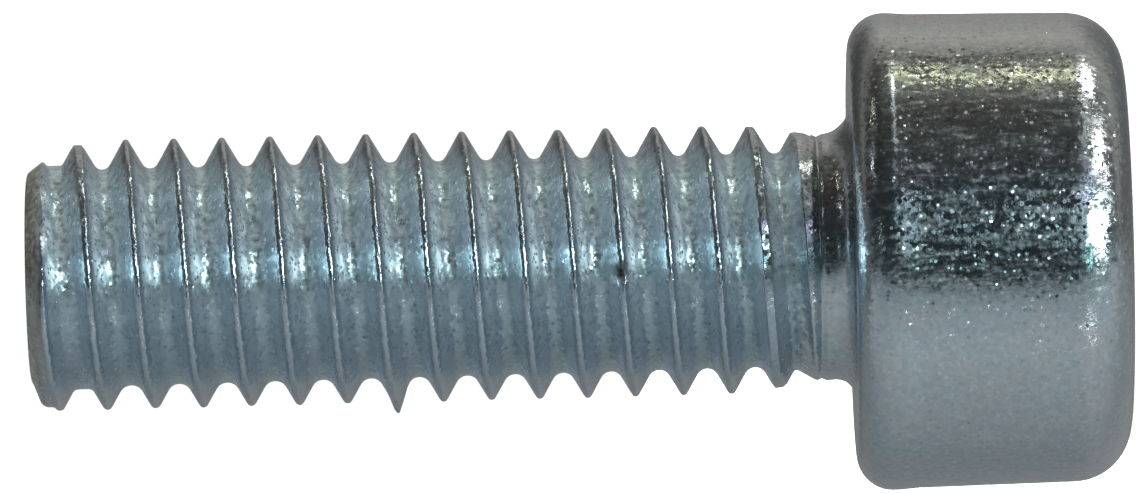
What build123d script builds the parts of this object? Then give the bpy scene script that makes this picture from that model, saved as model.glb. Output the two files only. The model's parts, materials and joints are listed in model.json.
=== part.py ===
from build123d import *
from math import ceil, cos, radians, tan
import os

# Socket head cap screw, M4 x 0.7, 12 mm under the head, rolled right-hand thread.
# The screw stands on its head: the origin is the middle of the head's flat end,
# and +Z runs along the axis to the tip. Sizes are in mm, angles in degrees.

# head, cold formed, a little narrower at the driving end
head_diameter = 7.0
head_height = 4.0
head_draft = 1.1
drive_edge_radius = 0.85
bearing_edge_radius = 0.52
under_head_radius = 0.35

# hexagon socket with a conical floor and a mouth that opens past its corners
socket_across_flats = 3.0
socket_depth = 2.1
socket_floor_angle = 14
mouth_angle = 30
mouth_margin = 0.09

# metric thread, with the widths of crest and root that the standard profile has
shank_length = 12.0
major_diameter = 3.94
pitch = 0.7
flank_angle = 60
crest_width = pitch / 8
root_width = pitch / 4

# the first full crest passes the +X side at this height above the bearing face
thread_phase = 1.45

# the bare blank between head and thread lies this far below the crests
neck_step = 0.17
neck_length = 0.56
crest_rise_length = 1.54

# the groove climbs out of the neck over its last turn
run_out_slope = 30
run_out_offset = 0.55

# chamfer at the tip
tip_step = 0.47
tip_slope = 29

# how far the thread cutter reaches past the crests
clearance = 0.03

# --- stock: head, neck and threaded length as one turned outline

bearing_radius = head_diameter / 2
drive_radius = bearing_radius - head_height * tan(radians(head_draft))
major_radius = major_diameter / 2
neck_radius = major_radius - neck_step
neck_end = head_height + neck_length
tip_radius = major_radius - tip_step
tip_end = head_height + shank_length
tip_chamfer_start = tip_end - tip_step * tan(radians(tip_slope))

drive_corner = (drive_radius, 0)
bearing_corner = (bearing_radius, head_height)
neck_corner = (neck_radius, head_height)
rounded_corners = {
    drive_corner: drive_edge_radius,
    bearing_corner: bearing_edge_radius,
    neck_corner: under_head_radius,
}

with BuildPart() as stock:
    with BuildSketch(Plane.XZ) as half_section:
        with BuildLine():
            Polyline(
                (0, 0),
                drive_corner,
                bearing_corner,
                neck_corner,
                (neck_radius, neck_end),
                (major_radius, neck_end + crest_rise_length),
                (major_radius, tip_chamfer_start),
                (tip_radius, tip_end),
                (0, tip_end),
                close=True,
            )
        make_face()
        for corner, radius in rounded_corners.items():
            fillet(half_section.vertices().sort_by_distance(corner)[0], radius)
    revolve(axis=Axis.Z)

# --- thread: one turn of the groove, repeated up the shank

half_angle = radians(flank_angle / 2)
sharp_root_radius = major_radius - (pitch - crest_width) / 2 / tan(half_angle)
root_radius = sharp_root_radius + root_width / 2 / tan(half_angle)
groove_lip_radius = major_radius + clearance
groove_half_width = (groove_lip_radius - sharp_root_radius) * tan(half_angle)

groove_section = Polygon(
    (groove_lip_radius, -groove_half_width),
    (root_radius, -root_width / 2),
    (root_radius, root_width / 2),
    (groove_lip_radius, groove_half_width),
    align=None,
)
groove_turn = sweep(
    Plane.XZ * groove_section,
    path=Helix(pitch=pitch, height=pitch, radius=major_radius),
    is_frenet=True,
)

# each turn leaves a cone of metal standing, so the groove fades into the neck
groove_start = head_height + thread_phase - 2.5 * pitch
run_out_base = groove_start - pitch
run_out_rise = tan(radians(run_out_slope))
run_out_tip = head_height + run_out_offset + neck_radius / run_out_rise
run_out_height = run_out_tip - run_out_base
run_out_cone = Pos(0, 0, run_out_base) * Cone(
    bottom_radius=run_out_height * run_out_rise,
    top_radius=0,
    height=run_out_height,
    align=(Align.CENTER, Align.CENTER, Align.MIN),
)

turn_count = ceil((tip_end + groove_half_width - groove_start) / pitch)
groove_turns = [
    Pos(0, 0, groove_start + turn * pitch) * groove_turn - run_out_cone
    for turn in range(turn_count)
]
threaded_stock = stock.part - groove_turns

# --- hexagon socket in the head

flat_radius = socket_across_flats / 2
corner_radius = flat_radius / cos(radians(30))
mouth_radius = corner_radius + mouth_margin

socket_hexagon = extrude(
    RegularPolygon(radius=flat_radius, side_count=6, major_radius=False),
    amount=socket_depth,
)
socket_floor = Pos(0, 0, socket_depth) * Cone(
    bottom_radius=flat_radius,
    top_radius=0,
    height=flat_radius * tan(radians(socket_floor_angle)),
    align=(Align.CENTER, Align.CENTER, Align.MIN),
)
socket_mouth = Cone(
    bottom_radius=mouth_radius,
    top_radius=0,
    height=mouth_radius * tan(radians(mouth_angle)),
    align=(Align.CENTER, Align.CENTER, Align.MIN),
)

# --- the finished screw

cap_screw = threaded_stock - socket_hexagon - socket_floor - socket_mouth
cap_screw.label = "cap_screw"

os.makedirs("parts", exist_ok=True)
export_step(cap_screw, "parts/cap_screw.step")
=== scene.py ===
import json
import math
import bmesh
import bpy
from mathutils import Matrix, Vector, noise


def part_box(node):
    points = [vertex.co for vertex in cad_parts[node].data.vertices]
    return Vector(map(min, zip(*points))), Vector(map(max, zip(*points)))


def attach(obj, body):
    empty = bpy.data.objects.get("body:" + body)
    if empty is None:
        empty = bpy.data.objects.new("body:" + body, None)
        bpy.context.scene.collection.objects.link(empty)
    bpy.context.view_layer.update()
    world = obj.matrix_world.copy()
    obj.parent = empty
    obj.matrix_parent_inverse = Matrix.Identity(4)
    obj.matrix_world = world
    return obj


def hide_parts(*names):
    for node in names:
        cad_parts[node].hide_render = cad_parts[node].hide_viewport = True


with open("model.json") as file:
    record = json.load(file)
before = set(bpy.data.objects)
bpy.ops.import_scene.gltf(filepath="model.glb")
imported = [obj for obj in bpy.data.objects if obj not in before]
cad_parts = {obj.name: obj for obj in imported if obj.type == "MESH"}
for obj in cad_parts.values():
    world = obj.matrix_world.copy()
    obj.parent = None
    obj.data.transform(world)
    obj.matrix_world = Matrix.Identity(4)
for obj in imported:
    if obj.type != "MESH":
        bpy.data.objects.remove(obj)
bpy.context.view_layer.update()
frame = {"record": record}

scene = bpy.context.scene
# the modelling is done in millimetres and scaled down at the end
cadLow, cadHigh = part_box("cap_screw")
headGap = 0.004                 # the head stays this far inside the solid
screwLength = (cadHigh.z - cadLow.z) * 1000.0
headRadius = min(cadHigh.x, -cadLow.x, cadHigh.y, -cadLow.y) * 1000.0 - headGap
bearingMount = [mount for mount in frame["record"]["mounts"] if mount["name"] == "bearing_face"][0]
bearingHeight = bearingMount["pos_m"][2] * 1000.0
print("frame loaded, screw length", round(screwLength, 3), "head radius", round(headRadius, 3))


def clearSelection():
    if bpy.context.object and bpy.context.object.mode != "OBJECT":
        bpy.ops.object.mode_set(mode="OBJECT")
    bpy.ops.object.select_all(action="DESELECT")


def pickOpenRing(piece, floorHeight):
    # selects the open border edges that lie above this height
    bpy.ops.mesh.select_mode(type="EDGE")
    bpy.ops.mesh.select_all(action="DESELECT")
    shape = bmesh.from_edit_mesh(piece.data)
    for edge in shape.edges:
        edge.select = edge.is_boundary and all(vertex.co.z > floorHeight for vertex in edge.verts)
    shape.select_flush_mode()
    bmesh.update_edit_mesh(piece.data)


def extrudeRing(oldRadius, oldHeight, newRadius, newHeight):
    bpy.ops.mesh.extrude_edges_move(TRANSFORM_OT_translate={"value": (0.0, 0.0, newHeight - oldHeight)})
    size = newRadius / oldRadius
    bpy.ops.transform.resize(value=(size, size, 1.0), center_override=(0.0, 0.0, newHeight))


def extrudeByAngle(piece, pointAt):
    # extrudes the selected ring, and each new vertex goes to the radius and height for its angle
    bpy.ops.mesh.extrude_edges_move(TRANSFORM_OT_translate={"value": (0.0, 0.0, 0.0)})
    shape = bmesh.from_edit_mesh(piece.data)
    for vertex in shape.verts:
        if vertex.select:
            angle = math.atan2(vertex.co.y, vertex.co.x)
            radius, height = pointAt(angle)
            vertex.co = (radius * math.cos(angle), radius * math.sin(angle), height)
    bmesh.update_edit_mesh(piece.data)


def smoothStep(low, high, value):
    t = min(1.0, max(0.0, (value - low) / (high - low)))
    return t * t * (3.0 - 2.0 * t)


def softMin(a, b, blend):
    h = max(blend - abs(a - b), 0.0) / blend
    return min(a, b) - h * h * blend * 0.25


def softMax(a, b, blend):
    return -softMin(-a, -b, blend)


def arcBetween(angle, other, radius):
    # distance round the axis from one angle to another
    turn = angle - other
    return math.atan2(math.sin(turn), math.cos(turn)) * radius


thread = {
    "segments": 120,            # steps in one turn, a multiple of 6 so that the hexagon gets its corners
    "pitch": 0.7,
    "turns": 18,
    "ringHeight": 4.4,          # where the thread's first turn meets the neck
    "firstCrest": 5.45,         # height of a crest on the +X side
    "crestRadius": 1.97,
    "crestRound": 0.045,
    "sharpCrest": 2.016,        # where the two flanks would meet
    "flankSlope": 1.7320508,    # 60 degrees between the flanks
    "rootRound": 0.128,
    "rootLift": (0.04, 0.045),  # how much rounder the groove is on the -X side, and more so at the tip
    "neckRadius": 1.80,
    "neckTop": 4.56,
    "neckGroove": (4.485, 0.035, 0.05),  # height, depth and half width of the hollow below the first crest
    "crestRise": 1.54,          # the first crests gain their full height over this length
    "runOutStart": 4.55,
    "runOutSlope": 0.577,
    "rows": (0.0, 0.012, 0.024, 0.036, 0.048, 0.062, 0.08, 0.15, 0.24, 0.29, 0.33, 0.37, 0.41, 0.455, 0.5),
    "offCentre": -0.062,        # the shank stands this far off the head's axis
    "waviness": 0.010,
}

# the last turn is uneven: fat over a shallow groove on the -X side, and low and filled on the +X side
tip = {
    "shallowRadius": 1.70,
    "shallowBlend": 0.16,
    "shallowHeights": (14.75, 15.2),
    "fatRadius": 1.91,
    "fatTop": 15.78,
    "fatHeights": (15.45, 15.62),
    "lowRadius": 2.02,
    "lowDrop": 0.12,
    "lowHeights": (14.9, 15.15),
    "fillRadius": 1.2,
    "fillRise": 0.41,
    "fillHeights": (15.3, 15.5),
    "endRadius": 1.5,
    "chamferSlope": 1.7,
    "chamferLean": 0.95,        # the chamfer sits off centre, steeper on the -X side
    "rimRise": 0.03,
    # share of the end's radius and rise of each ring from the rim to the middle of the faintly hollow end
    "rim": ((1.0, 0.0), (0.988, 0.014), (0.970, 0.024), (0.948, 0.03), (0.90, 0.03), (0.80, 0.026),
            (0.62, 0.020), (0.42, 0.015), (0.22, 0.012), (0.05, 0.011)),
}

# where the thread was knocked: angle in degrees, height, how far out or in, half width round and along
threadKnocks = (
    {"angle": 180.0, "height": 10.62, "depth": 0.20, "round": 0.16, "along": 0.13},
    {"angle": 264.6, "height": 7.38, "depth": -0.16, "round": 0.06, "along": 0.07},
    {"angle": 231.0, "height": 13.0, "depth": -0.05, "round": 0.10, "along": 0.08},
    {"angle": 48.0, "height": 8.9, "depth": -0.06, "round": 0.12, "along": 0.08},
    {"angle": 121.0, "height": 12.1, "depth": -0.05, "round": 0.15, "along": 0.08},
)
# the knock whose nick is darkened with painted shade
shadedNick = threadKnocks[1]


def toothRadius(offset, rootRound):
    # radius of the full thread at this distance along the axis from the middle of a crest
    t = thread
    rootCentre = t["sharpCrest"] - t["flankSlope"] * t["pitch"] / 2 + 2 * rootRound
    fromRoot = t["pitch"] / 2 - offset
    if fromRoot < rootRound * t["flankSlope"] / 2:
        return rootCentre - math.sqrt(rootRound ** 2 - fromRoot ** 2)
    return softMin(t["crestRadius"], t["sharpCrest"] - t["flankSlope"] * offset, t["crestRound"])


def tipRadius(radius, angle, height):
    # what the last turn makes of the regular thread
    t = tip
    minusSide = (1.0 - math.cos(angle)) / 2
    plusSide = (1.0 + math.cos(angle)) / 2
    missing = max(0.0, t["shallowRadius"] - radius)
    radius += missing ** 2 / t["shallowBlend"] * minusSide ** 2 * smoothStep(*t["shallowHeights"], height)
    if height > t["fatHeights"][0]:
        fat = t["fatRadius"] - 0.5 * max(0.0, height - t["fatTop"])
        share = minusSide ** 3 * smoothStep(*t["fatHeights"], height)
        radius = softMax(radius, t["endRadius"] + (fat - t["endRadius"]) * share, 0.05)
    if height > t["lowHeights"][0]:
        drop = t["lowDrop"] * plusSide ** 2 * smoothStep(*t["lowHeights"], height)
        radius = softMin(radius, t["lowRadius"] - drop, 0.04)
        rise = t["fillRise"] * plusSide ** 2 * smoothStep(*t["fillHeights"], height)
        radius = softMax(radius, t["fillRadius"] + rise, 0.05)
    return radius


def threadRadius(angle, height):
    t = thread
    phase = (height - t["firstCrest"]) / t["pitch"] - angle / (2 * math.pi)
    phase -= math.floor(phase)
    offset = min(phase, 1.0 - phase) * t["pitch"]
    lift = t["rootLift"][0] + t["rootLift"][1] * (height - 5.0) / 10.0
    radius = toothRadius(offset, t["rootRound"] + lift * (1.0 - math.cos(angle)) / 2)
    radius = tipRadius(radius, angle, height)
    # the groove runs out towards the neck, and the first crests are low
    runOut = t["neckRadius"] - t["runOutSlope"] * (height - t["runOutStart"])
    radius = softMax(radius, runOut, 0.06)
    rise = min(1.0, max(0.0, (height - t["neckTop"]) / t["crestRise"]))
    envelope = t["neckRadius"] + (t["crestRadius"] - t["neckRadius"]) * (1.0 - (1.0 - rise) ** 1.6)
    radius = softMin(radius, envelope, 0.03)
    chamferSlope = tip["chamferSlope"] - tip["chamferLean"] * math.cos(angle)
    return softMin(radius, tip["endRadius"] + chamferSlope * (screwLength - height), 0.05)


def roughenThread(radius, angle, height):
    # unevenness from rolling, mostly on the crests, and the knocks
    t = thread
    place = Vector((math.cos(angle) * 2.2, math.sin(angle) * 2.2, height * 0.9))
    onCrest = smoothStep(1.75, 1.95, radius)
    radius += t["waviness"] * (0.25 + 0.75 * onCrest) * noise.noise(place * 1.7)
    radius += t["waviness"] * 0.5 * onCrest * noise.noise(place * 6.0)
    for knock in threadKnocks:
        around = arcBetween(math.radians(knock["angle"]), angle, t["crestRadius"])
        along = height - knock["height"]
        nearness = math.exp(-(around / knock["round"]) ** 2 - (along / knock["along"]) ** 2)
        radius += knock["depth"] * nearness * (1.0 if knock["depth"] < 0.0 else smoothStep(1.6, 1.97, radius))
    return radius


def drawPitch(shares):
    # the outline of one pitch, from root to root, drawn point by point
    t = thread
    start = t["ringHeight"] - t["pitch"]
    points = []
    for share in shares:
        radius = toothRadius(abs(share - 0.5) * t["pitch"], t["rootRound"])
        points.append((radius, start + share * t["pitch"]))
    clearSelection()
    bpy.ops.mesh.primitive_plane_add(size=0.1, location=(0.0, 0.0, 0.0))
    piece = bpy.context.object
    piece.name = "screwThread"
    bpy.ops.object.mode_set(mode="EDIT")
    bpy.ops.mesh.select_all(action="SELECT")
    bpy.ops.mesh.merge(type="CENTER")
    bpy.ops.transform.translate(value=(points[0][0], 0.0, points[0][1]))
    for before, after in zip(points, points[1:]):
        step = (after[0] - before[0], 0.0, after[1] - before[1])
        bpy.ops.mesh.extrude_vertices_move(TRANSFORM_OT_translate={"value": step})
    bpy.ops.object.mode_set(mode="OBJECT")
    return piece


def rollThread(piece):
    roll = piece.modifiers.new("roll", "SCREW")
    roll.axis = "Z"
    roll.angle = 2 * math.pi
    roll.screw_offset = thread["pitch"]
    roll.iterations = thread["turns"]
    roll.steps = thread["segments"]
    roll.render_steps = thread["segments"]
    roll.use_merge_vertices = False
    roll.use_smooth_shade = True
    bpy.ops.object.modifier_apply(modifier="roll")


def makeThread():
    t = thread
    start = t["ringHeight"] - t["pitch"]
    half = [0.5 - row for row in reversed(t["rows"])]
    shares = half + [1.0 - share for share in reversed(half[:-1])]
    piece = drawPitch(shares)
    rows = len(piece.data.vertices)
    order = sorted(range(rows), key=lambda index: piece.data.vertices[index].co.z)
    rank = {index: place for place, index in enumerate(order)}
    rollThread(piece)
    print("thread rolled,", rows, "rows,", len(piece.data.vertices), "vertices")
    hollowHeight, hollowDepth, hollowWidth = t["neckGroove"]
    for index, vertex in enumerate(piece.data.vertices):
        step = index // rows
        share = shares[rank[index % rows]]
        angle = 2 * math.pi * step / t["segments"]
        if step <= t["segments"]:
            # the first turn fans out of one point, so that its lower border is a flat ring
            height = t["ringHeight"] + t["pitch"] * share * step / t["segments"]
        else:
            height = start + t["pitch"] * (share + step / t["segments"])
        radius = t["neckRadius"]
        if height >= t["runOutStart"]:
            radius = roughenThread(threadRadius(angle, height), angle, height)
        hollow = math.exp(-((height - hollowHeight) / hollowWidth) ** 2)
        radius -= hollowDepth * hollow * smoothStep(t["ringHeight"], t["ringHeight"] + 0.04, height)
        vertex.co = (radius * math.cos(angle), radius * math.sin(angle), height)
    return piece


def finishTip(piece):
    endHeight = screwLength - tip["rimRise"]
    bpy.context.view_layer.objects.active = piece
    piece.select_set(True)
    bpy.ops.object.mode_set(mode="EDIT")
    bpy.ops.mesh.select_all(action="SELECT")
    bpy.ops.mesh.remove_doubles(threshold=0.0004)
    bpy.ops.mesh.select_all(action="SELECT")
    bpy.ops.mesh.bisect(
        plane_co=(0.0, 0.0, endHeight), plane_no=(0.0, 0.0, 1.0), clear_outer=True, threshold=0.00005)
    pickOpenRing(piece, endHeight - 0.001)
    for before, after in zip(tip["rim"], tip["rim"][1:]):
        extrudeRing(before[0], endHeight + before[1], after[0], endHeight + after[1])
    bpy.ops.mesh.edge_face_add()
    bpy.ops.mesh.poke()
    bpy.ops.object.mode_set(mode="OBJECT")
    print("tip closed")


head = {
    "filletRadius": 0.35,
    "bearingEdge": 0.52,
    "driveEdge": 0.85,
    "draft": 0.85,             # degrees, narrower at the drive face
    # the faint lip that rounding the edge left: how far in, and how far below the edge
    "lip": ((0.0, 0.02), (0.002, 0.04), (0.0065, 0.06), (0.012, 0.08), (0.016, 0.10), (0.018, 0.12)),
    "sideHeights": (3.3, 3.1, 2.8, 2.5, 2.2, 1.9, 1.6, 1.3, 1.05),
    "driveFace": ((2.3, 0.0), (2.06, 0.0), (1.90, 0.0), (1.865, 0.001), (1.838, 0.006), (1.815, 0.017)),
    "mouthRadius": 1.822,
    "mouthAngle": 30.0,
    "mouthDepth": 0.013,       # depth of the countersink at the mouth's radius
    "socketFlats": 3.0,
    "socketDepth": 2.1,
    "floorAngle": 14.0,
    "cornerRound": 0.05,
    "footInset": 0.018,
    # how far the wall leans in, and at what share of its depth
    "wall": ((0.0072, 0.006), (0.0108, 0.03), (0.0108, 0.25), (0.0108, 0.6), (0.0108, 0.85), (0.0108, 0.97),
             (0.018, 1.0)),
}


def arcPoints(centre, radius, fromAngle, toAngle, count):
    points = []
    for index in range(count + 1):
        angle = math.radians(fromAngle + (toAngle - fromAngle) * index / count)
        points.append((centre[0] + radius * math.cos(angle), centre[1] + radius * math.sin(angle)))
    return points


def headOutline():
    # radius and height pairs from the neck ring down to the edge of the socket
    h = head
    neck = thread["neckRadius"]
    fillet = h["filletRadius"]
    slope = math.tan(math.radians(h["draft"]))
    points = [(neck, thread["ringHeight"])]
    points += arcPoints((neck + fillet, bearingHeight + fillet), fillet, 180, 270, 8)
    inner = neck + fillet
    edge = headRadius - h["bearingEdge"]
    points += [(inner + (edge - inner) * share, bearingHeight) for share in (0.25, 0.5, 0.75)]
    sideTop = bearingHeight - h["bearingEdge"]
    points += arcPoints((edge, sideTop), h["bearingEdge"], 90, 0, 12)
    points += [(headRadius - inset, sideTop - lower) for inset, lower in h["lip"]]
    side = headRadius - h["lip"][-1][0]
    points += [(side - slope * (sideTop - height), height) for height in h["sideHeights"]]
    corner = side - slope * (sideTop - h["driveEdge"])
    points += arcPoints((corner - h["driveEdge"], h["driveEdge"]), h["driveEdge"], 0, -90, 16)
    points += h["driveFace"]
    return points


def hexagonRadius(angle, flats):
    # distance to the wall at this angle, with the corners slightly rounded
    turn = (math.degrees(angle) % 60.0) - 30.0
    near = flats / math.cos(math.radians(turn))
    past = flats / math.cos(math.radians(60.0 - abs(turn)))
    return softMin(near, past, head["cornerRound"])


def mouthHeight(radius):
    # height of the countersink's cone at this radius
    return (head["mouthRadius"] - radius) * math.tan(math.radians(head["mouthAngle"])) + head["mouthDepth"]


def countersinkPoint(angle, share):
    # from the drive face down to the scalloped top of the hexagon
    edge = head["driveFace"][-1][0]
    radius = edge + (hexagonRadius(angle, head["socketFlats"] / 2) - edge) * share
    return radius, mouthHeight(radius)


def wallPoint(angle, inset, share):
    radius = hexagonRadius(angle, head["socketFlats"] / 2)
    top = mouthHeight(radius)
    return radius - inset, top + (head["socketDepth"] - top) * share


def floorPoint(angle, share):
    # the floor is a shallow cone
    halfFlats = head["socketFlats"] / 2
    radius = hexagonRadius(angle, halfFlats - head["footInset"]) * share
    rise = max(0.0, halfFlats - radius) * math.tan(math.radians(head["floorAngle"]))
    return radius, head["socketDepth"] + rise


def makeHead():
    clearSelection()
    points = headOutline()
    neckRadius, neckHeight = points[0]
    bpy.ops.mesh.primitive_circle_add(
        vertices=thread["segments"], radius=neckRadius, location=(0.0, 0.0, neckHeight), fill_type="NOTHING")
    piece = bpy.context.object
    piece.name = "screwHead"
    bpy.ops.object.transform_apply(location=True, rotation=True, scale=True)
    bpy.ops.object.mode_set(mode="EDIT")
    bpy.ops.mesh.select_mode(type="EDGE")
    bpy.ops.mesh.select_all(action="SELECT")
    for before, after in zip(points, points[1:]):
        extrudeRing(before[0], before[1], after[0], after[1])
    print("head drawn,", len(points), "rings")
    for share in (0.5, 0.86, 1.0):
        extrudeByAngle(piece, lambda angle: countersinkPoint(angle, share))
    for inset, share in head["wall"]:
        extrudeByAngle(piece, lambda angle: wallPoint(angle, inset, share))
    for share in (0.97, 0.85, 0.65, 0.42, 0.2, 0.03):
        extrudeByAngle(piece, lambda angle: floorPoint(angle, share))
    bpy.ops.mesh.edge_face_add()
    bpy.ops.mesh.poke()
    bpy.ops.object.mode_set(mode="OBJECT")
    print("socket cut")
    return piece


zones = {
    "shank": (0.65, 0.95),     # heights above the bearing face between which the thread's finish takes over
    "crest": (1.80, 1.91),     # radii
    "root": (1.68, 1.55),
    "rootHeights": (4.6, 4.9),
    "nickShade": (0.13, 0.07),  # half width round and along
}


def markZones(screw):
    # where the surface is shank, crest or root, and a mask for the painted shade that darkens the deepest
    # nick
    names = ("shank", "crest", "root", "nickShade")
    for name in names:
        screw.data.attributes.new(name, "FLOAT", "POINT")
    shank, crest, root, shadeMask = [screw.data.attributes[name].data for name in names]
    shankLow, shankHigh = [bearingHeight + height for height in zones["shank"]]
    shadeAngle = math.radians(shadedNick["angle"] + 2.0)
    shadeHeight = shadedNick["height"] + 0.01
    for index, vertex in enumerate(screw.data.vertices):
        co = vertex.co
        radius = math.hypot(co.x, co.y)
        onShank = smoothStep(shankLow, shankHigh, co.z)
        aboveNeck = smoothStep(*zones["rootHeights"], co.z)
        around = arcBetween(shadeAngle, math.atan2(co.y, co.x), radius) / zones["nickShade"][0]
        along = (co.z - shadeHeight) / zones["nickShade"][1]
        shank[index].value = onShank
        crest[index].value = onShank * smoothStep(*zones["crest"], radius)
        root[index].value = onShank * smoothStep(*zones["root"], radius) * aboveNeck
        shadeMask[index].value = onShank * math.exp(-around ** 2 - along ** 2)


def unevenScrew(screw):
    # a lip that is plainer on some sides, a head a little out of round, and a shank off the head's axis
    sideTop = bearingHeight - head["bearingEdge"]
    for vertex in screw.data.vertices:
        co = vertex.co
        radius = math.hypot(co.x, co.y)
        if radius > 3.3 and sideTop - 0.30 < co.z < sideTop:
            turn = math.degrees(math.atan2(co.x, -co.y))
            keep = 0.15 + 0.85 * math.exp(-((turn - 40.0) / 18.0) ** 2) + 0.12 * noise.noise(co * 1.3)
            lost = (headRadius - radius) * (1.0 - keep)
            lost *= smoothStep(sideTop - 0.30, sideTop - 0.12, co.z)
            co.x += lost * co.x / radius
            co.y += lost * co.y / radius
        if radius > 2.6 and 0.15 < co.z < bearingHeight - 0.05:
            out = 0.0035 * (noise.noise(Vector((co.x, co.y, co.z * 0.8)) * 1.1) - 0.45)
            co.x += out * co.x / radius
            co.y += out * co.y / radius
        aside = smoothStep(bearingHeight, bearingHeight + 0.45, co.z) * smoothStep(3.0, 2.2, radius)
        co.x += thread["offCentre"] * aside


def joinScrew(threadPiece, headPiece):
    clearSelection()
    threadPiece.select_set(True)
    headPiece.select_set(True)
    bpy.context.view_layer.objects.active = threadPiece
    bpy.ops.object.join()
    screw = bpy.context.object
    screw.name = "zincScrew"
    screw.data.name = "zincScrew"
    bpy.ops.object.mode_set(mode="EDIT")
    bpy.ops.mesh.select_all(action="SELECT")
    bpy.ops.mesh.remove_doubles(threshold=0.0004)
    bpy.ops.mesh.select_all(action="SELECT")
    bpy.ops.mesh.normals_make_consistent(inside=False)
    bpy.ops.object.mode_set(mode="OBJECT")
    markZones(screw)
    unevenScrew(screw)
    bpy.ops.transform.resize(value=(0.001, 0.001, 0.001), center_override=(0.0, 0.0, 0.0))
    bpy.ops.object.transform_apply(location=True, rotation=True, scale=True)
    bpy.ops.object.shade_smooth_by_angle(angle=math.radians(38))
    shape = bmesh.new()
    shape.from_mesh(screw.data)
    openEdges = sum(1 for edge in shape.edges if not edge.is_manifold)
    volume = round(shape.calc_volume() * 1e9, 2)
    print("screw joined,", len(shape.faces), "faces,", openEdges, "open edges, volume mm3", volume)
    shape.free()
    return screw


threadPiece = makeThread()
finishTip(threadPiece)
headPiece = makeHead()
screw = joinScrew(threadPiece, headPiece)
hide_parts("cap_screw")
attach(screw, "root")


plate = {
    "clear": (0.535, 0.612, 0.66, 1.0),
    "groove": (0.445, 0.56, 0.64, 1.0),
    "cool": (0.47, 0.60, 0.655, 1.0),
    "warm": (0.575, 0.60, 0.62, 1.0),
    "crestWear": (0.45, 0.53, 0.585, 1.0),
    # darker and a little greener towards the tip end
    "tipDarker": (0.34, 0.345, 0.315, 1.0),
    "tipHeights": (0.01572, 0.01584),
    # painted shade for the thread roots
    "rootShade": (0.38, 0.50, 0.55, 1.0),
    # painted shade, nearly black, in the deepest nick
    "nickShade": (0.03, 0.03, 0.035, 1.0),
    "patchScale": 2300.0,
    "drawnScale": 9000.0,
    "grainScale": 12000.0,
    "spotScale": 16000.0,
    "rollScale": 20000.0,
    "pitScale": 26000.0,
    "speckleScale": 15000.0,
    "filmScale": 9500.0,
    "spotRarity": 1.8,
    "headReach": (0.55, 0.55, 1.25),     # how far the grains lean along each axis
    "shankReach": (0.25, 0.25, 1.0),
    "headLean": (0.13, 1.5),
    "shankLean": (0.8, 2.2),
    "pitStrength": 0.35,
    "pitDepth": 0.0000055,
    "headRoughness": (0.12, 0.39),
    "shankRoughness": (0.40, 0.54),
    "crestShine": 0.24,                  # how much smoother the crests are than the flanks
    "rootShine": 0.16,
    "spotShine": (0.8, 0.20),            # share of the spots' strength, and the most it may come to
    "rolledAcross": 0.97,                # how much wider the flanks scatter along the axis than round it
    "rolledRoot": 0.4,                   # how much of that the roots lose
    "film": 0.17,                        # how much of the flanks' light is scattered by their dull film
}


def newNode(tree, kind, place, **values):
    node = tree.nodes.new(kind)
    node.location = place
    for name, value in values.items():
        setattr(node, name, value)
    return node


def fillSocket(tree, socket, value):
    # a wire is linked, and a number or colour is set
    if isinstance(value, (int, float, tuple)):
        socket.default_value = value
    else:
        tree.links.new(value, socket)


def calculate(tree, operation, place, first, second, clamp=False):
    node = newNode(tree, "ShaderNodeMath", place, operation=operation, use_clamp=clamp)
    fillSocket(tree, node.inputs[0], first)
    fillSocket(tree, node.inputs[1], second)
    return node.outputs[0]


def combine(tree, operation, place, first, second):
    # a vector node, whose second input is a vector, or the factor where it scales
    node = newNode(tree, "ShaderNodeVectorMath", place, operation=operation)
    fillSocket(tree, node.inputs[0], first)
    fillSocket(tree, node.inputs["Scale"] if operation == "SCALE" else node.inputs[1], second)
    return node.outputs[0]


def rescale(tree, place, value, span, result, ease="LINEAR"):
    node = newNode(tree, "ShaderNodeMapRange", place, interpolation_type=ease)
    tree.links.new(value, node.inputs["Value"])
    names = ("From Min", "From Max", "To Min", "To Max")
    for name, number in zip(names, span + result):
        node.inputs[name].default_value = number
    return node.outputs["Result"]


def between(tree, place, share, first, second):
    # runs from the first value to the second as the share grows
    difference = calculate(tree, "SUBTRACT", place, second, first)
    return calculate(tree, "ADD", place, first, calculate(tree, "MULTIPLY", place, difference, share))


def blendColours(tree, place, share, first, second):
    node = newNode(tree, "ShaderNodeMix", place, data_type="RGBA")
    for socket, value in ((node.inputs["Factor"], share), (node.inputs[6], first), (node.inputs[7], second)):
        fillSocket(tree, socket, value)
    return node.outputs[2]


def cloud(tree, place, vector, scale, detail, roughness=0.5, wanted="Fac"):
    node = newNode(tree, "ShaderNodeTexNoise", place)
    node.inputs["Scale"].default_value = scale
    node.inputs["Detail"].default_value = detail
    node.inputs["Roughness"].default_value = roughness
    tree.links.new(vector, node.inputs["Vector"])
    return node.outputs[wanted]


def stretch(tree, place, vector, scale):
    node = newNode(tree, "ShaderNodeMapping", place)
    node.inputs["Scale"].default_value = scale
    tree.links.new(vector, node.inputs["Vector"])
    return node.outputs[0]


def zone(tree, place, name):
    return newNode(tree, "ShaderNodeAttribute", place, attribute_name=name).outputs["Fac"]


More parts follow.
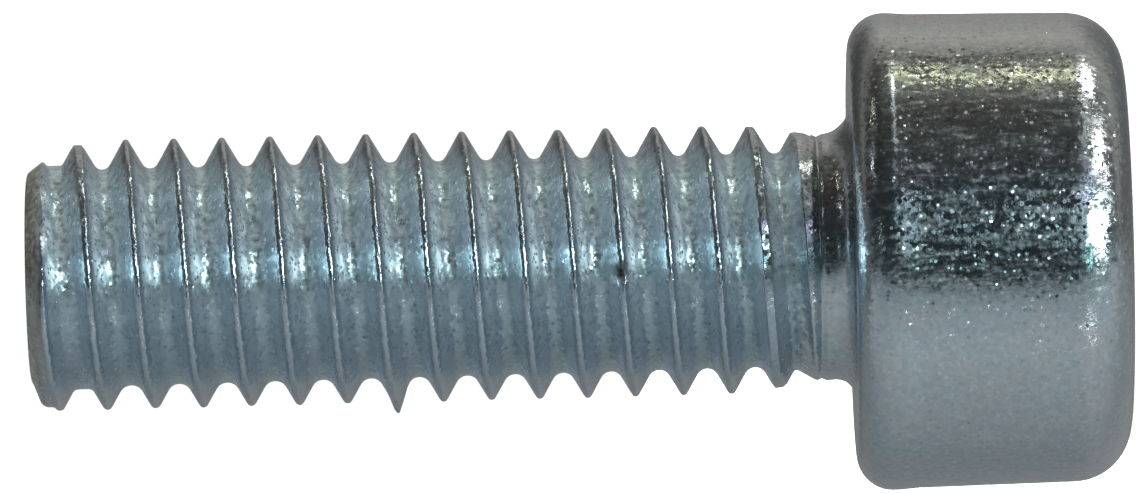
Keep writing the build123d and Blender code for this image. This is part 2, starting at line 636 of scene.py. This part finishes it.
def plateSpots(tree, grains, patches):
    # sparse beads of plating, more crowded in some patches
    chance = newNode(tree, "ShaderNodeTexWhiteNoise", (-1300, 0), noise_dimensions="3D")
    tree.links.new(grains.outputs["Position"], chance.inputs["Vector"])
    bead = rescale(tree, (-1100, 100), grains.outputs["Distance"], (0.15, 0.55), (1.0, 0.0))
    rare = calculate(tree, "POWER", (-1100, 0), chance.outputs["Value"], plate["spotRarity"])
    crowded = rescale(tree, (-900, 300), patches, (0.38, 0.62), (0.5, 1.4))
    spots = calculate(tree, "MULTIPLY", (-900, 50), bead, rare)
    tints = newNode(tree, "ShaderNodeSeparateColor", (-1100, -100))
    tree.links.new(chance.outputs["Color"], tints.inputs[0])
    return calculate(tree, "MULTIPLY", (-700, 50), spots, crowded), tints.outputs[2]


def plateNormal(tree, coords, grains, spots, drawn, onShank):
    # grains of the plating: the surface leans a little everywhere and strongly in the spots
    p = plate
    swirl = cloud(tree, (-1500, 300), coords, p["grainScale"], 2.5, 0.6, "Color")
    # rolling leaves the thread finely ridged all round, so there it leans along the axis
    rolled = stretch(tree, (-1700, 200), coords, (0.22, 0.22, 1.0))
    ridges = cloud(tree, (-1500, 200), rolled, p["rollScale"], 3.0, 0.65, "Color")
    waves = blendColours(tree, (-1300, 400), onShank, swirl, ridges)
    direction = blendColours(tree, (-1100, 500), 0.55, waves, grains.outputs["Color"])
    lean = combine(tree, "SUBTRACT", (-900, 500), direction, (0.5, 0.5, 0.5))
    reach = newNode(tree, "ShaderNodeMix", (-900, 400), data_type="VECTOR")
    reach.inputs[4].default_value = p["headReach"]
    reach.inputs[5].default_value = p["shankReach"]
    tree.links.new(onShank, reach.inputs["Factor"])
    lean = combine(tree, "MULTIPLY", (-700, 400), lean, reach.outputs[1])
    headLean = rescale(tree, (-700, 0), spots, (0.0, 1.0), p["headLean"])
    shankLean = rescale(tree, (-700, -50), spots, (0.0, 1.0), p["shankLean"])
    lean = combine(tree, "SCALE", (-500, 250), lean, between(tree, (-600, 0), onShank, headLean, shankLean))
    normal = newNode(tree, "ShaderNodeNewGeometry", (-500, 0)).outputs["Normal"]
    leaned = combine(tree, "ADD", (-300, 200), normal, lean)
    leaned = combine(tree, "NORMALIZE", (-100, 200), leaned, (0.0, 0.0, 0.0))
    # fine pitting under the grains
    pits = cloud(tree, (-700, -300), coords, p["pitScale"], 3.0, 0.6)
    furrows = calculate(tree, "MULTIPLY", (-500, -450), drawn, 0.9)
    relief = newNode(tree, "ShaderNodeBump", (1200, -300))
    relief.inputs["Strength"].default_value = p["pitStrength"]
    relief.inputs["Distance"].default_value = p["pitDepth"]
    tree.links.new(calculate(tree, "ADD", (-300, -300), pits, furrows), relief.inputs["Height"])
    tree.links.new(leaned, relief.inputs["Normal"])
    return relief.outputs[0]


def plateRoughness(tree, coords, spots, drawn, onShank, onCrest, inRoot):
    # bright and matt grains, the shank matter than the head, its crests and roots burnished
    p = plate
    speckle = cloud(tree, (-900, -100), coords, p["speckleScale"], 2.0, 0.55)
    streaks = calculate(tree, "MULTIPLY", (-700, -200), drawn, 1.9)
    matt = calculate(tree, "ADD", (-600, -100), speckle, streaks)
    matt = rescale(tree, (-500, -100), matt, (1.10, 1.86), (0.0, 1.0))
    matt = calculate(tree, "POWER", (-300, -100), matt, 1.6)
    headPart = rescale(tree, (-100, -50), matt, (0.0, 1.0), p["headRoughness"])
    shankPart = rescale(tree, (-100, -250), matt, (0.0, 1.0), p["shankRoughness"])
    roughness = between(tree, (300, -200), onShank, headPart, shankPart)
    beads = calculate(tree, "MULTIPLY", (200, -400), spots, p["spotShine"][0])
    beads = calculate(tree, "MULTIPLY", (300, -400), beads, onShank)
    beads = calculate(tree, "MINIMUM", (500, -400), beads, p["spotShine"][1])
    crests = calculate(tree, "MULTIPLY", (500, -250), onCrest, p["crestShine"])
    roots = calculate(tree, "MULTIPLY", (500, -500), inRoot, p["rootShine"])
    shine = calculate(tree, "MAXIMUM", (600, -300), crests, beads)
    shine = calculate(tree, "MAXIMUM", (700, -400), shine, roots)
    return calculate(tree, "SUBTRACT", (800, -100), roughness, shine)


def plateColour(tree, coords, tints, patches, drawn, onShank, onCrest, inRoot):
    # a clear blue-white, cooler and warmer in patches, worn on the crests, and darkened in the roots by
    # painted shade
    p = plate
    warmth = rescale(tree, (100, 700), patches, (0.40, 0.60), (0.0, 1.0))
    colour = blendColours(tree, (300, 700), warmth, p["cool"], p["warm"])
    colour = blendColours(tree, (500, 700), 0.7, colour, p["clear"])
    speck = rescale(tree, (500, 500), tints, (0.0, 1.0), (0.92, 1.08))
    colour = combine(tree, "SCALE", (700, 600), colour, speck)
    colour = blendColours(tree, (800, 600), onShank, colour, p["groove"])
    worn = rescale(tree, (500, 300), drawn, (0.35, 0.6), (0.3, 1.0))
    worn = calculate(tree, "MULTIPLY", (700, 300), onCrest, worn)
    colour = blendColours(tree, (900, 500), worn, colour, p["crestWear"])
    # painted shade: the thread roots are darkened, more in some patches than others
    shadeInRoots = rescale(tree, (700, 100), patches, (0.35, 0.65), (0.7, 1.0))
    shadeInRoots = calculate(tree, "MULTIPLY", (900, 200), inRoot, shadeInRoots)
    colour = blendColours(tree, (1100, 400), shadeInRoots, colour, p["rootShade"])
    # darker towards the tip end
    height = newNode(tree, "ShaderNodeSeparateXYZ", (900, 900))
    tree.links.new(coords, height.inputs[0])
    nearEnd = rescale(tree, (1100, 900), height.outputs["Z"], p["tipHeights"], (0.0, 0.85))
    colour = blendColours(tree, (1200, 600), nearEnd, colour, p["tipDarker"])
    # painted shade darkens the deepest nick
    return blendColours(tree, (1300, 400), zone(tree, (1100, 800), "nickShade"), colour, p["nickShade"])


def makePlate():
    p = plate
    material = bpy.data.materials.new("zincPlate")
    material.use_nodes = True
    tree = material.node_tree
    tree.nodes.clear()
    wire = tree.links.new
    output = newNode(tree, "ShaderNodeOutputMaterial", (1900, 0))
    shader = newNode(tree, "ShaderNodeBsdfPrincipled", (1600, 0))
    wire(shader.outputs[0], output.inputs["Surface"])
    coords = newNode(tree, "ShaderNodeTexCoord", (-1800, 0)).outputs["Object"]
    onShank = zone(tree, (-1800, -500), "shank")
    onCrest = zone(tree, (-1800, -700), "crest")
    inRoot = zone(tree, (-1800, -900), "root")
    # patches where the plating is coarser or finer, and marks drawn along the axis
    patches = cloud(tree, (-1500, 900), coords, p["patchScale"], 3.0)
    drawn = stretch(tree, (-1500, 700), coords, (1.0, 1.0, 0.2))
    drawn = cloud(tree, (-1300, 700), drawn, p["drawnScale"], 4.0, 0.62)
    grains = newNode(tree, "ShaderNodeTexVoronoi", (-1500, 0))
    grains.inputs["Scale"].default_value = p["spotScale"]
    wire(coords, grains.inputs["Vector"])
    spots, tints = plateSpots(tree, grains, patches)
    normal = plateNormal(tree, coords, grains, spots, drawn, onShank)
    roughness = plateRoughness(tree, coords, spots, drawn, onShank, onCrest, inRoot)
    colour = plateColour(tree, coords, tints, patches, drawn, onShank, onCrest, inRoot)
    wire(normal, shader.inputs["Normal"])
    wire(roughness, shader.inputs["Roughness"])
    wire(colour, shader.inputs["Base Color"])

    # the flanks scatter widely along the axis, and a patchy dull film lies on them
    flank = calculate(tree, "MULTIPLY", (750, 0), onCrest, 0.85)
    flank = calculate(tree, "SUBTRACT", (900, 0), onShank, flank, clamp=True)
    rolled = calculate(tree, "MULTIPLY", (900, -50), inRoot, p["rolledRoot"])
    rolled = calculate(tree, "SUBTRACT", (1000, -50), flank, rolled, clamp=True)
    wire(calculate(tree, "MULTIPLY", (1100, -50), rolled, p["rolledAcross"]), shader.inputs["Anisotropic"])
    shader.inputs["Anisotropic Rotation"].default_value = 0.25
    roundAxis = newNode(tree, "ShaderNodeTangent", (1200, -600), direction_type="RADIAL", axis="Z")
    wire(roundAxis.outputs[0], shader.inputs["Tangent"])
    film = cloud(tree, (700, 0), coords, p["filmScale"], 3.0, 0.6)
    film = rescale(tree, (900, 100), film, (0.36, 0.64), (0.4 * p["film"], 1.6 * p["film"]))
    film = calculate(tree, "MULTIPLY", (1100, 100), flank, film)
    wire(calculate(tree, "SUBTRACT", (1300, 100), 1.0, film), shader.inputs["Metallic"])
    print("zinc plate mixed")
    return material


screw.data.materials.clear()
screw.data.materials.append(makePlate())


def makeFloor():
    clearSelection()
    # a hair below the drive face, so that the two don't coincide
    bpy.ops.mesh.primitive_circle_add(
        vertices=96, radius=1.6, location=(0.0, 0.0, -0.00001), fill_type="NGON")
    floor = bpy.context.object
    floor.name = "paleFloor"
    bpy.ops.object.mode_set(mode="EDIT")
    bpy.ops.mesh.select_all(action="SELECT")
    bpy.ops.mesh.inset(thickness=0.4)
    bpy.ops.mesh.inset(thickness=0.6)
    bpy.ops.object.mode_set(mode="OBJECT")
    paper = bpy.data.materials.new("palePaper")
    paper.use_nodes = True
    shader = paper.node_tree.nodes["Principled BSDF"]
    shader.inputs["Base Color"].default_value = (0.9, 0.9, 0.9, 1.0)
    shader.inputs["Roughness"].default_value = 0.9
    shader.inputs["Emission Color"].default_value = (1.0, 1.0, 1.0, 1.0)
    shader.inputs["Emission Strength"].default_value = 0.85
    floor.data.materials.append(paper)
    floor.visible_glossy = False
    floor.visible_shadow = False
    floor.visible_diffuse = False


makeFloor()
print("floor laid")

middle = (0.0, 0.0, 0.008)      # what the lamps aim at, halfway up the screw


def around(turn, rise, reach=0.3):
    # a place this far from the screw: turn in degrees from the bench side towards +X, rise above the level
    turn = math.radians(turn)
    rise = math.radians(rise)
    return (reach * math.sin(turn) * math.cos(rise), -reach * math.cos(turn) * math.cos(rise),
            middle[2] + reach * math.sin(rise))


def hangLamp(name, kind, place, colour):
    data = bpy.data.lights.new(name, kind)
    data.color = colour
    lamp = bpy.data.objects.new(name, data)
    scene.collection.objects.link(lamp)
    lamp.location = place
    lamp.rotation_euler = (Vector(middle) - Vector(place)).to_track_quat("-Z", "Y").to_euler()
    return lamp


def addPanel(name, place, size, radiance, colour):
    # a soft panel of this size in metres, seen only in the metal's reflections
    panel = hangLamp(name, "AREA", place, colour)
    panel.data.shape = "RECTANGLE"
    panel.data.size = size[0]
    panel.data.size_y = size[1]
    panel.data.energy = radiance * math.pi * size[0] * size[1]
    panel.visible_camera = False
    panel.visible_diffuse = False


def addSoftSun(name, place, strength, spread, colour):
    # light from a wide patch of the room, which the metal doesn't mirror
    sun = hangLamp(name, "SUN", place, colour)
    sun.data.energy = strength
    sun.data.angle = math.radians(spread)
    sun.visible_glossy = False


panels = (
    # name, place, size, brightness, colour
    ("windowLamp", around(11, -45), (0.045, 0.13), 29.0, (0.88, 1.0, 0.96)),
    ("windowTeal", around(-3, -27), (0.03, 0.03), 4.5, (0.45, 1.0, 0.92)),
    ("windowViolet", around(28, -24), (0.025, 0.025), 6.0, (0.80, 0.74, 1.0)),
    ("benchLamp", around(14, -15), (0.13, 0.04), 0.9, (0.75, 0.95, 1.0)),
    ("sideLamp", around(96, -25), (0.028, 0.075), 17.0, (1.0, 0.97, 0.86)),
    ("sideLow", around(62, -47), (0.10, 0.05), 10.0, (1.0, 0.96, 0.90)),
    ("sideStraw", around(94, -7), (0.02, 0.03), 5.0, (1.0, 0.92, 0.55)),
    ("glint", around(-40, -26), (0.007, 0.04), 12.0, (1.0, 1.0, 0.96)),
    ("twinkleA", around(22, -64), (0.012, 0.012), 40.0, (0.80, 1.0, 0.95)),
    ("twinkleB", around(40, -36), (0.010, 0.010), 10.0, (0.84, 0.78, 1.0)),
    ("twinkleC", around(53, -62), (0.012, 0.012), 40.0, (1.0, 0.86, 0.95)),
    ("twinkleD", around(64, -32), (0.010, 0.010), 14.0, (1.0, 0.95, 0.80)),
    ("shelf", around(70, -23), (0.24, 0.014), 1.3, (1.0, 0.97, 0.90)),
    ("twinkleF", around(8, 40), (0.010, 0.010), 8.0, (0.80, 1.0, 0.96)),
    ("twinkleG", around(60, 52), (0.010, 0.010), 20.0, (1.0, 0.90, 0.96)),
    ("twinkleH", around(86, 38), (0.010, 0.010), 20.0, (1.0, 0.95, 0.70)),
)
for panel in panels:
    addPanel(*panel)
addSoftSun("ceiling", (0.0, 0.0, 0.6), 0.5, 120, (1.0, 1.0, 1.0))
addSoftSun("fill", around(54, -4, 0.5), 6.4, 70, (1.0, 0.96, 0.90))
addSoftSun("backFill", around(-150, 25, 0.5), 6.0, 60, (0.94, 0.98, 1.0))
print("lights hung")

# soft light from all round: turn in degrees from the bench side towards +X, brightness, tint
levelLight = (
    (-180, 0.27, (1.00, 1.0, 0.98)),
    (-122, 0.27, (0.95, 1.0, 1.03)),
    (-96, 0.34, (0.95, 1.0, 1.03)),
    (-70, 0.40, (0.94, 1.0, 1.02)),
    (-48, 0.48, (0.94, 1.0, 1.02)),
    (-29, 0.42, (0.92, 1.0, 1.03)),
    (-18.5, 0.30, (0.86, 1.0, 1.05)),
    (-16.5, 0.04, (0.80, 1.0, 1.05)),
    (-8, 0.022, (0.70, 1.0, 1.05)),
    (30, 0.032, (0.75, 1.0, 1.05)),
    (48, 0.052, (1.05, 1.0, 0.92)),
    (73, 0.055, (1.15, 1.0, 0.85)),
    (82, 0.15, (1.10, 1.0, 0.88)),
    (93, 0.16, (1.08, 1.0, 0.90)),
    (99, 0.14, (1.08, 1.0, 0.90)),
    (103, 0.05, (1.12, 1.0, 0.88)),
    (108, 0.07, (1.12, 1.0, 0.88)),
    (113, 0.36, (1.12, 1.0, 0.88)),
    (124, 0.52, (1.12, 1.0, 0.89)),
    (150, 0.35, (1.08, 1.0, 0.93)),
    (180, 0.27, (1.00, 1.0, 0.98)),
)
# the light from above, on the bearing side
highLight = (
    (-180, 0.10, (1.00, 1.0, 0.98)),
    (-165, 0.24, (1.00, 1.0, 0.98)),
    (-122, 0.27, (0.95, 1.0, 1.03)),
    (-96, 0.32, (0.95, 1.0, 1.03)),
    (-70, 0.38, (0.94, 1.0, 1.02)),
    (-48, 0.44, (0.94, 1.0, 1.02)),
    (-29, 0.38, (0.92, 1.0, 1.03)),
    (-15.5, 0.28, (0.86, 1.0, 1.05)),
    (-13.5, 0.04, (0.80, 1.0, 1.05)),
    (48, 0.03, (1.0, 1.0, 0.95)),
    (102, 0.05, (1.08, 1.0, 0.90)),
    (118, 0.16, (1.12, 1.0, 0.88)),
    (128, 0.26, (1.12, 1.0, 0.89)),
    (140, 0.10, (1.08, 1.0, 0.93)),
    (180, 0.05, (1.00, 1.0, 0.98)),
)
# the light from below, on the drive side
lowLight = (
    (-180, 0.22, (1.00, 1.0, 0.98)),
    (-168, 0.32, (1.00, 1.0, 0.98)),
    (-122, 0.32, (0.98, 1.0, 1.02)),
    (-96, 0.40, (0.98, 1.0, 1.01)),
    (-70, 0.46, (0.96, 1.0, 1.02)),
    (-48, 0.50, (0.96, 1.0, 1.02)),
    (-29, 0.40, (0.93, 1.0, 1.03)),
    (-15.5, 0.28, (0.88, 1.0, 1.05)),
    (-10, 0.06, (0.80, 1.0, 1.05)),
    (20, 0.08, (0.80, 1.0, 1.08)),
    (45, 0.13, (0.95, 1.0, 1.0)),
    (76, 0.10, (1.06, 1.0, 0.92)),
    (100, 0.14, (1.08, 1.0, 0.90)),
    (112, 0.28, (1.12, 1.0, 0.88)),
    (124, 0.38, (1.12, 1.0, 0.89)),
    (145, 0.20, (1.08, 1.0, 0.93)),
    (165, 0.14, (1.00, 1.0, 0.98)),
    (180, 0.16, (1.00, 1.0, 0.98)),
)
room = {
    "lowSlopes": (-0.04, -0.36),         # rises, as sines, between which each light takes over
    "highSlopes": (0.05, 0.45),
    "overheadSlopes": (0.93, 0.99),
    "overhead": (0.13, 0.13, 0.13, 1.0),
    "scattered": 0.25,                   # the dull film is lit by the soft suns, so the room is dim for it
    "backdrop": (1.0, 1.0, 1.0, 1.0),
    "backdropStrength": 1.05,
}


def lightRing(tree, place, share, ring):
    node = newNode(tree, "ShaderNodeValToRGB", place)
    tree.links.new(share, node.inputs["Fac"])
    stops = []
    for turn, brightness, tint in ring:
        stops.append(((turn + 180.0) / 360.0, [brightness * value for value in tint] + [1.0]))
    first, last = node.color_ramp.elements
    first.position, first.color = stops[0]
    last.position, last.color = stops[-1]
    for position, colour in stops[1:-1]:
        node.color_ramp.elements.new(position).color = colour
    return node.outputs["Color"]


def makeRoom():
    world = bpy.data.worlds.new("studio")
    scene.world = world
    world.use_nodes = True
    tree = world.node_tree
    tree.nodes.clear()
    wire = tree.links.new
    direction = newNode(tree, "ShaderNodeTexCoord", (-1200, 0))
    parts = newNode(tree, "ShaderNodeSeparateXYZ", (-1000, 0))
    wire(direction.outputs["Generated"], parts.inputs[0])
    forward = calculate(tree, "MULTIPLY", (-800, -100), parts.outputs["Y"], -1.0)
    turn = calculate(tree, "ARCTAN2", (-600, 0), parts.outputs["X"], forward)
    share = rescale(tree, (-400, 0), turn, (-math.pi, math.pi), (0.0, 1.0))
    light = lightRing(tree, (-200, 0), share, levelLight)
    others = (
        ("lowSlopes", lightRing(tree, (-200, -300), share, lowLight)),
        ("highSlopes", lightRing(tree, (-200, 300), share, highLight)),
        ("overheadSlopes", room["overhead"]),
    )
    for slopes, other in others:
        taken = rescale(tree, (0, 500), parts.outputs["Z"], room[slopes], (0.0, 1.0), "SMOOTHSTEP")
        light = blendColours(tree, (200, 0), taken, light, other)
    rays = newNode(tree, "ShaderNodeLightPath", (300, 300))
    soft = newNode(tree, "ShaderNodeBackground", (450, 0))
    wire(light, soft.inputs["Color"])
    dim = rescale(tree, (450, 150), rays.outputs["Is Diffuse Ray"], (0.0, 1.0), (1.0, room["scattered"]))
    wire(dim, soft.inputs["Strength"])
    backdrop = newNode(tree, "ShaderNodeBackground", (450, -200))
    backdrop.inputs["Color"].default_value = room["backdrop"]
    backdrop.inputs["Strength"].default_value = room["backdropStrength"]
    choice = newNode(tree, "ShaderNodeMixShader", (700, 0))
    wire(rays.outputs["Is Camera Ray"], choice.inputs["Fac"])
    wire(soft.outputs[0], choice.inputs[1])
    wire(backdrop.outputs[0], choice.inputs[2])
    output = newNode(tree, "ShaderNodeOutputWorld", (900, 0))
    wire(choice.outputs[0], output.inputs["Surface"])


makeRoom()
print("room light set")

view = {
    "distance": 0.180,
    "tilt": 1.408,             # degrees that the axis leans in the frame
    "frameWidth": 16.669,      # how much of the screw's plane the frame takes in, in millimetres
    "centre": (0.1785, 8.086),  # across the axis and along it
    "sensor": 36.0,
}


def makeCamera():
    lean = math.radians(view["tilt"])
    eye = bpy.data.cameras.new("bench")
    eye.sensor_width = view["sensor"]
    eye.lens = view["sensor"] * view["distance"] * 1000.0 / view["frameWidth"]
    eye.clip_start = 0.005
    eye.clip_end = 10.0
    camera = bpy.data.objects.new("bench", eye)
    scene.collection.objects.link(camera)
    right = Vector((-math.sin(lean), 0.0, -math.cos(lean)))
    up = Vector((math.cos(lean), 0.0, -math.sin(lean)))
    back = Vector((0.0, -1.0, 0.0))
    camera.rotation_euler = Matrix((right, up, back)).transposed().to_euler()
    camera.location = (view["centre"][0] * 0.001, -view["distance"], view["centre"][1] * 0.001)
    scene.camera = camera


makeCamera()
scene.view_settings.view_transform = "Standard"
print("camera set")
